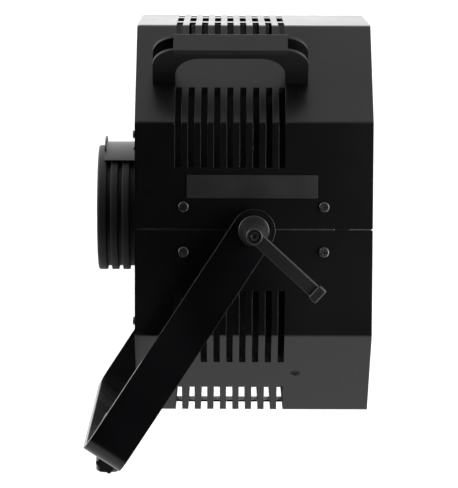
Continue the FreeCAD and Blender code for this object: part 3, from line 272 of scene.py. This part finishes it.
def enamel_plate(name, color, roughness):
    """Enamelled blank plate: smooth, with a very fine grain."""
    mat = Material(name, color, roughness)
    mat.soft_edges(0.3 * MM)
    mat.bump(mat.noise(2500.0, 1.0), 0.01 * MM)
    cloud = mat.noise(40.0, 3.0)
    return mat.done(mat.tint(mat.span(cloud, 0.0, 1.0), color, times(color, 1.25)),
                    mat.span(cloud, roughness, roughness + 0.08))


FINISHES = {
    "black_sheet": powder_coat("black_sheet", (0.004, 0.004, 0.0045), 0.28),
    "black_frame": powder_coat("black_frame", (0.002, 0.002, 0.002), 0.6),
    # yoke edges painted much lighter: rubbed wear and a painted edge highlight
    "black_yoke": powder_coat("black_yoke", (0.003, 0.003, 0.0035), 0.24, edge=1.1 * MM, lift_for_wear_and_highlight=6.0),
    "black_casting": powder_coat("black_casting", (0.010, 0.010, 0.0105), 0.38, grain=900.0,
                                 depth=0.06 * MM, edge=0.4 * MM, lift_for_wear_and_highlight=2.0),
    "grey_plate": enamel_plate("grey_plate", (0.013, 0.0135, 0.013), 0.45),
    "latch_grey": powder_coat("latch_grey", (0.045, 0.046, 0.047), 0.42),
    "dark_screw": brushed("dark_screw", (0.028, 0.028, 0.029), 0.3, (1.0, 1.0, 1.0)),
    "plated_strip": brushed("plated_strip", (0.75, 0.75, 0.76), 0.3, (0.1, 1.0, 1.0)),
    "black_screw": brushed("black_screw", (0.16, 0.16, 0.165), 0.34, (1.0, 1.0, 1.0)),
    "bright_steel": brushed("bright_steel", (0.56, 0.56, 0.57), 0.28, (1.0, 0.1, 1.0)),
    "bare_aluminium": brushed("bare_aluminium", (0.62, 0.63, 0.65), 0.34, (3.0, 0.3, 0.3)),
    "brass_insert": brushed("brass_insert", (0.62, 0.46, 0.19), 0.3, (1.0, 0.1, 1.0)),
    "black_rubber": moulded("black_rubber", (0.021, 0.021, 0.021), 0.52, 1600.0, 0.05 * MM, 0.6 * MM),
    "black_plastic": moulded("black_plastic", (0.002, 0.002, 0.0022), 0.55, 1900.0, 0.04 * MM, 0.7 * MM),
    "grip_plastic": moulded("grip_plastic", (0.009, 0.009, 0.0095), 0.5, 1300.0, 0.05 * MM, 0.7 * MM),
    "nylon_washer": moulded("nylon_washer", (0.03, 0.03, 0.03), 0.5, 1200.0, 0.03 * MM, 0.3 * MM),
    "lens_glass": clear_glass("lens_glass", (0.90, 0.96, 0.93), 0.03),
}


def finish_frame():
    """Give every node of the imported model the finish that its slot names."""
    slots = {part["node"]: part["material_slot"] for part in frame["record"]["subparts"]}
    for name, node in frame["nodes"].items():
        node.data.materials.clear()
        node.data.materials.append(FINISHES[slots[name]])


# ---- mesh helpers ----------------------------------------------------------------------------
def rounded(outline, radii):
    """Replace each corner of a closed outline by an arc of its own radius."""
    smooth = []
    count = len(outline)
    for i, corner in enumerate(outline):
        here = Vector(corner)
        back = Vector(outline[i - 1]) - here
        ahead = Vector(outline[(i + 1) % count]) - here
        turn = back.angle(ahead)
        reach = min(radii[i] / math.tan(turn / 2), 0.45 * back.length, 0.45 * ahead.length)
        if radii[i] <= 0 or turn > math.radians(178):
            smooth.append(tuple(here))
            continue
        start = here + back.normalized() * reach
        end = here + ahead.normalized() * reach
        for k in range(ROUND_STEPS + 1):
            t = k / ROUND_STEPS
            point = start * (1 - t) ** 2 + here * 2 * t * (1 - t) + end * t ** 2
            smooth.append(tuple(point))
    return smooth


def lathe(name, outline, axis_z):
    """Turn a closed outline of (x, radius) about the X line through Y = 0 and Z = axis_z."""
    mesh = bmesh.new()
    rings = []
    for s in range(LATHE_SEGMENTS):
        angle = 2 * math.pi * s / LATHE_SEGMENTS
        across, up = math.sin(angle), math.cos(angle)
        rings.append([mesh.verts.new((x, r * across, axis_z + r * up)) for x, r in outline])
    for s in range(LATHE_SEGMENTS):
        near, far = rings[s], rings[(s + 1) % LATHE_SEGMENTS]
        for k in range(len(outline)):
            following = (k + 1) % len(outline)
            mesh.faces.new((near[k], near[following], far[following], far[k]))
    bmesh.ops.remove_doubles(mesh, verts=mesh.verts, dist=1e-7)
    bmesh.ops.recalc_face_normals(mesh, faces=mesh.faces)
    return finish_mesh(name, mesh)


def finish_mesh(name, mesh):
    data = bpy.data.meshes.new(name)
    mesh.to_mesh(data)
    mesh.free()
    piece = bpy.data.objects.new(name, data)
    bpy.context.scene.collection.objects.link(piece)
    data.polygons.foreach_set("use_smooth", [True] * len(data.polygons))
    data.set_sharp_from_angle(angle=SMOOTH_ANGLE)
    return piece


def stand_for(piece, slot, body, node):
    """Dress a piece, fix it to its body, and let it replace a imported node."""
    piece.data.materials.append(FINISHES[slot])
    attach(piece, body)
    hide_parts(node)


# ---- collar and lens -------------------------------------------------------------------------
def rubber_collar():
    """Ribbed collar with every rib and groove rounded, in place of the plain one."""
    low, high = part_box("head_collar")
    radius = (high.z - low.z) / 2
    groove = radius - COLLAR_GROOVE_DEPTH
    bore = MOUNTS["head_bore"]["dims"]["r_mm"] * MM
    x = low.x + COLLAR_LIP
    outline = [(low.x, bore + COLLAR_MOUTH), (low.x, radius), (x, radius), (x, groove)]
    radii = [COLLAR_MOUTH_ROUNDS[0], COLLAR_LIP_ROUND, COLLAR_RIB_ROUND, COLLAR_GROOVE_ROUND]
    while x + COLLAR_GROOVE + COLLAR_RIB < high.x:
        x += COLLAR_GROOVE
        outline += [(x, groove), (x, radius)]
        x += COLLAR_RIB
        outline += [(x, radius), (x, groove)]
        radii += [COLLAR_GROOVE_ROUND, COLLAR_RIB_ROUND, COLLAR_RIB_ROUND, COLLAR_GROOVE_ROUND]
    spigot = high.x - SPIGOT_LENGTH
    outline += [(high.x, groove), (high.x, SPIGOT_RADIUS), (spigot, SPIGOT_RADIUS), (spigot, bore),
                (low.x + COLLAR_MOUTH, bore)]
    radii += [0.0, 0.0, 0.0, 0.0, COLLAR_MOUTH_ROUNDS[1]]
    piece = lathe("ribbed_collar", rounded(outline, radii), PIVOT.z)
    stand_for(piece, "black_rubber", "housing", "head_collar")


def stepped_lens():
    """Fresnel lens with twice the rings of the plain one, in its place."""
    low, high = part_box("fresnel_lens")
    radius = (high.z - low.z) / 2
    back, rim, crest = low.x, low.x + LENS_EDGE, low.x + LENS_BODY
    step = (LENS_CLEAR_RADIUS - LENS_EYE_RADIUS) / LENS_RING_COUNT
    outline = [(back, 0.0)]
    for i in range(LENS_EYE_STEPS):
        share = i / LENS_EYE_STEPS
        outline.append((crest + LENS_EYE_RISE * (1 - share ** 2), LENS_EYE_RADIUS * share))
    for i in range(LENS_RING_COUNT):
        inner = LENS_EYE_RADIUS + i * step
        slope = LENS_EDGE_SLOPE * (inner + step) / LENS_CLEAR_RADIUS
        outline.append((crest - LENS_VALLEY + step * math.tan(slope), inner + LENS_RISER))
        outline.append((crest - LENS_VALLEY, inner + step))
    outline += [(rim, LENS_CLEAR_RADIUS + LENS_RIM_STEP), (rim, radius), (back, radius)]
    piece = lathe("stepped_lens", outline, PIVOT.z)
    stand_for(piece, "lens_glass", "housing", "fresnel_lens")


# ---- studio ----------------------------------------------------------------------------------
def aim(thing, target, roll=0.0):
    thing.rotation_mode = "QUATERNION"
    turned = (target - thing.location).to_track_quat("-Z", "Y")
    thing.rotation_quaternion = turned @ Quaternion((0, 0, 1), roll)


def camera():
    data = bpy.data.cameras.new("camera")
    data.lens = CAMERA_LENS
    data.clip_end = CAMERA_SIGHT
    made = bpy.data.objects.new("camera", data)
    bpy.context.scene.collection.objects.link(made)
    made.location = PIVOT + CAMERA_FROM_PIVOT
    level = math.cos(CAMERA_PITCH)
    ahead = Vector((math.sin(CAMERA_YAW) * level, math.cos(CAMERA_YAW) * level, math.sin(CAMERA_PITCH)))
    aim(made, made.location + ahead, CAMERA_ROLL)
    bpy.context.scene.camera = made


def floor():
    """White studio floor, with painted shade making it darker close to the lamp."""
    mesh = bmesh.new()
    corners = [(-FLOOR_HALF_WIDTH, FLOOR_FRONT), (FLOOR_HALF_WIDTH, FLOOR_FRONT),
               (FLOOR_HALF_WIDTH, FLOOR_BACK), (-FLOOR_HALF_WIDTH, FLOOR_BACK)]
    mesh.faces.new([mesh.verts.new((x, y, FLOOR_Z)) for x, y in corners])
    piece = finish_mesh("studio_floor", mesh)
    mat = Material("studio_floor", FLOOR_FAR_TONE, FLOOR_ROUGHNESS)
    along = mat.node("ShaderNodeSeparateXYZ")
    mat.feed(along.inputs["Vector"], mat.place)
    # painted shade: the floor is darker close to the lamp and fades to the far tone farther back
    shade_fade = mat.span(along.outputs["Y"], 0.0, 1.0 - FLOOR_MOTTLE, *FLOOR_SHADE_FADE)
    far = mat.math("ADD", shade_fade, mat.span(mat.noise(2.0), 0.0, FLOOR_MOTTLE))
    piece.data.materials.append(mat.done(mat.tint(far, FLOOR_SHADED_TONE, FLOOR_FAR_TONE)))


def side_softbox():
    """Tall narrow light close to the front of the right side, left out of the camera's own view."""
    data = bpy.data.lights.new("side_softbox", "AREA")
    data.shape = "RECTANGLE"
    data.size, data.size_y = SOFTBOX_SIZE
    data.energy = SOFTBOX_POWER
    made = bpy.data.objects.new("side_softbox", data)
    bpy.context.scene.collection.objects.link(made)
    made.visible_camera = False
    made.location = PIVOT + Vector(SOFTBOX_FROM_PIVOT)
    aim(made, PIVOT + Vector(SOFTBOX_TARGET))


def surroundings():
    """Soft bright panels above, behind and at both ends, and a dark room on the camera's side."""
    world = bpy.data.worlds.new("studio")
    bpy.context.scene.world = world
    world.use_nodes = True
    tree = world.node_tree
    tree.nodes.clear()
    direction = tree.nodes.new("ShaderNodeTexCoord").outputs["Generated"]
    total = None
    for axis, low, high, level in WORLD_PANELS:
        dot = tree.nodes.new("ShaderNodeVectorMath")
        dot.operation = "DOT_PRODUCT"
        tree.links.new(direction, dot.inputs[0])
        dot.inputs[1].default_value = Vector(axis).normalized()
        ranged = tree.nodes.new("ShaderNodeMapRange")
        ranged.interpolation_type = "SMOOTHSTEP"
        tree.links.new(dot.outputs["Value"], ranged.inputs["Value"])
        ranged.inputs["From Min"].default_value = low
        ranged.inputs["From Max"].default_value = high
        ranged.inputs["To Max"].default_value = level
        if total is None:
            total = ranged.outputs["Result"]
            continue
        added = tree.nodes.new("ShaderNodeMath")
        tree.links.new(total, added.inputs[0])
        tree.links.new(ranged.outputs["Result"], added.inputs[1])
        total = added.outputs["Value"]
    tent = tree.nodes.new("ShaderNodeBackground")
    tree.links.new(total, tent.inputs["Strength"])
    backdrop = tree.nodes.new("ShaderNodeBackground")
    seen = tree.nodes.new("ShaderNodeMixShader")
    backdrop.inputs["Color"].default_value = (1.0, 1.0, 1.0, 1.0)
    tree.links.new(tree.nodes.new("ShaderNodeLightPath").outputs["Is Camera Ray"], seen.inputs["Fac"])
    tree.links.new(tent.outputs["Background"], seen.inputs[1])
    tree.links.new(backdrop.outputs["Background"], seen.inputs[2])
    output = tree.nodes.new("ShaderNodeOutputWorld")
    tree.links.new(seen.outputs["Shader"], output.inputs["Surface"])


# ---- build -----------------------------------------------------------------------------------
finish_frame()
rubber_collar()
stepped_lens()
floor()
surroundings()
side_softbox()
camera()
bpy.context.scene.view_settings.view_transform = "Standard"
